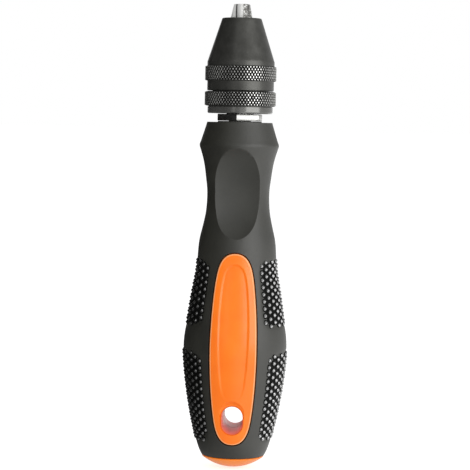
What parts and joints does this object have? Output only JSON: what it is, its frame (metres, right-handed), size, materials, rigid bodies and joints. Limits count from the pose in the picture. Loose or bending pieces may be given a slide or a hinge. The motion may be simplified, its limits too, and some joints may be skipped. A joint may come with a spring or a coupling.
{
  "type": "hand drill",
  "caption": "Hand drill: waisted soft-grip handle with orange inlays and a hanging hole, carrying a keyless three-jaw chuck with a knurled turning sleeve.",
  "frame": {"origin": "apex of the domed butt, on the tool's axis, where the palm or the hand behind the tool pushes", "axes": "+Z along the tool's axis towards the jaws; the side with the scoop and inlay that the picture shows faces -Y; +X to its right"},
  "size_m": [0.0302, 0.0294, 0.1331],
  "materials": {
    "black_rubber": "fine matt moulded soft-touch rubber",
    "orange_plastic": "satin moulded plastic",
    "pale_plastic": "natural plastic",
    "black_steel": "black oxide, satin",
    "bright_steel": "ground and bright"
  },
  "bodies": {
    "handle": {"grip_overmould": "black_rubber", "orange_body": "orange_plastic", "handle_core": "pale_plastic", "spindle": "bright_steel", "chuck_body": "black_steel", "rear_sleeve": "black_steel", "thrust_washer": "bright_steel"},
    "sleeve": {"nose_sleeve": "black_steel", "nut_half_1": "black_steel", "nut_half_2": "black_steel"},
    "jaw_1": {"jaw_1": "bright_steel"},
    "jaw_2": {"jaw_2": "bright_steel"},
    "jaw_3": {"jaw_3": "bright_steel"}
  },
  "joints": [
    {"name": "sleeve_turn", "type": "hinge", "parent": "handle", "child": "sleeve", "pos_m": [0, 0, 0.1122], "axis": [0, 0, 1], "range_deg": [0, 1800]},
    {"name": "jaw_1_slide", "type": "slide", "parent": "handle", "child": "jaw_1", "axis": [0.042, -0.2382, -0.9703], "range_m": [0, 0.00644]},
    {"name": "jaw_2_slide", "type": "slide", "parent": "handle", "child": "jaw_2", "axis": [0.1853, 0.1555, -0.9703], "range_m": [0, 0.00644]},
    {"name": "jaw_3_slide", "type": "slide", "parent": "handle", "child": "jaw_3", "axis": [-0.2273, 0.0827, -0.9703], "range_m": [0, 0.00644]}
  ],
  "couplings": [
    {"joint": "jaw_1_slide", "follows": "sleeve_turn", "m_per_rad": 0.00020503},
    {"joint": "jaw_2_slide", "follows": "sleeve_turn", "m_per_rad": 0.00020503},
    {"joint": "jaw_3_slide", "follows": "sleeve_turn", "m_per_rad": 0.00020503}
  ]
}
